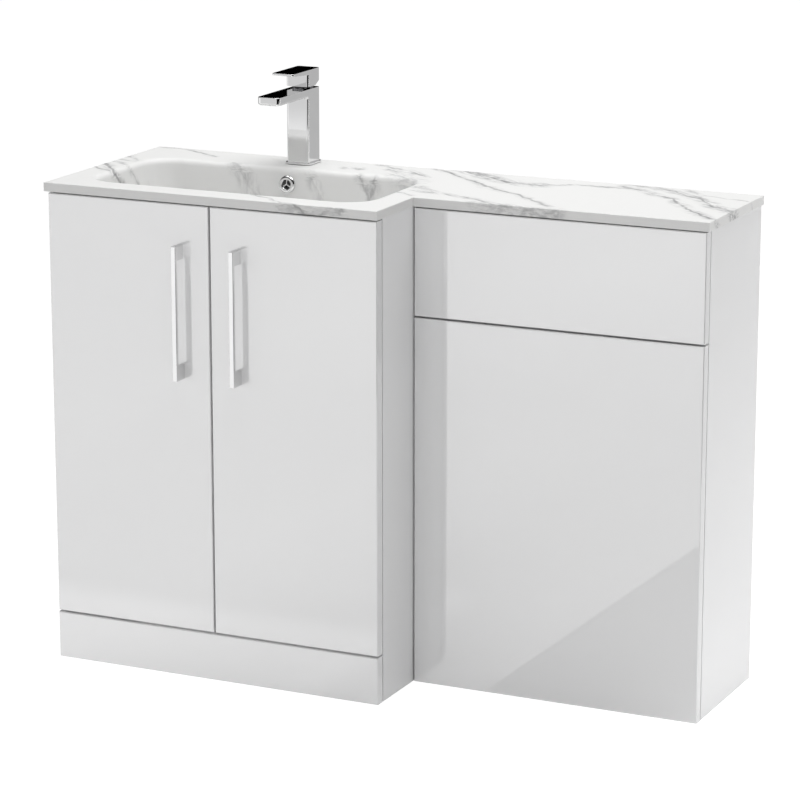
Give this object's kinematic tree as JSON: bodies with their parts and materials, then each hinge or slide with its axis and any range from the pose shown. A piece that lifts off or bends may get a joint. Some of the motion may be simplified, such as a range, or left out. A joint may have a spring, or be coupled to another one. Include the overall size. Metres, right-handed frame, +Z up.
{
  "type": "vanity unit",
  "caption": "Bathroom vanity unit: hinged-door basin cupboard beside a shallower toilet unit with a lift-off access panel, under an L-shaped basin worktop with a lever tap.",
  "frame": {"origin": "centre of the bounding box's footprint, on the floor", "axes": "+X along the worktop from the basin to the toilet unit, +Y to the wall, +Z up"},
  "size_m": [1.102, 0.412, 0.9702],
  "materials": {
    "cast_marble": "gloss, marble veins",
    "gloss_front": "gloss white lacquer",
    "carcass_board": "white facing",
    "chrome": "polished",
    "zinc_steel": "zinc plated",
    "brass": "turned",
    "grey_plastic": "moulded",
    "white_plastic": "moulded",
    "clear_buffer": "soft translucent",
    "rubber": "matt"
  },
  "bodies": {
    "carcass": {"basin_worktop": "cast_marble", "vanity_plinth": "gloss_front", "wc_front_panel": "gloss_front", "vanity_side_left": "carcass_board", "vanity_side_right": "carcass_board", "vanity_base": "carcass_board", "vanity_front_rail": "carcass_board", "vanity_upper_back_rail": "carcass_board", "vanity_lower_back_rail": "carcass_board", "vanity_shelf": "carcass_board", "wc_side_left": "carcass_board", "wc_side_right": "carcass_board", "wc_top_rail": "carcass_board", "wc_middle_rail": "carcass_board", "wc_bottom_rail": "carcass_board", "wc_back_rail": "carcass_board", "tap_base_plate": "chrome", "tap_body": "chrome", "tap_dome": "chrome", "overflow_trim": "chrome", "waste_body": "chrome", "plinth_brackets": "zinc_steel", "panel_brackets": "zinc_steel", "hinge_plates": "zinc_steel", "hinge_arms": "zinc_steel", "joining_bolts": "zinc_steel", "shelf_pins": "zinc_steel", "tap_stud": "zinc_steel", "tap_clamp": "zinc_steel", "tap_nut": "brass", "tap_aerator": "grey_plastic", "tap_cartridge": "grey_plastic", "waste_nut": "grey_plastic", "panel_sockets": "white_plastic", "door_buffers": "clear_buffer", "tap_seal": "rubber", "waste_washer": "rubber"},
    "door_left": {"door_left": "gloss_front", "handle_left": "chrome", "handle_screws_left": "zinc_steel", "hinge_cups_left": "zinc_steel", "hinge_pins_left": "zinc_steel"},
    "door_right": {"door_right": "gloss_front", "handle_right": "chrome", "handle_screws_right": "zinc_steel", "hinge_cups_right": "zinc_steel", "hinge_pins_right": "zinc_steel"},
    "access_panel": {"wc_access_panel": "gloss_front", "panel_studs": "white_plastic"},
    "tap_swivel": {"tap_rotor": "grey_plastic", "tap_pin": "brass"},
    "tap_lever": {"tap_stem": "brass", "tap_lever": "chrome"},
    "waste_plug": {"waste_plug": "chrome"}
  },
  "joints": [
    {"name": "door_left_hinge", "type": "hinge", "parent": "carcass", "child": "door_left", "pos_m": [-0.5362, -0.1702, 0.4375], "axis": [0, 0, -1], "range_deg": [0, 95]},
    {"name": "door_right_hinge", "type": "hinge", "parent": "carcass", "child": "door_right", "pos_m": [0.0442, -0.1702, 0.4375], "axis": [0, 0, 1], "range_deg": [0, 95]},
    {"name": "access_panel_pull", "type": "slide", "parent": "carcass", "child": "access_panel", "axis": [0, -1, 0], "range_m": [0, 0.1]},
    {"name": "tap_turn", "type": "hinge", "parent": "carcass", "child": "tap_swivel", "pos_m": [-0.25, 0.1635, 0.938], "axis": [0, 0, 1], "range_deg": [-45, 45]},
    {"name": "tap_lift", "type": "hinge", "parent": "tap_swivel", "child": "tap_lever", "pos_m": [-0.25, 0.1635, 0.942], "axis": [-1, 0, 0], "range_deg": [0, 22]},
    {"name": "plug_rise", "type": "slide", "parent": "carcass", "child": "waste_plug", "axis": [0, 0, 1], "range_m": [0, 0.008]}
  ]
}
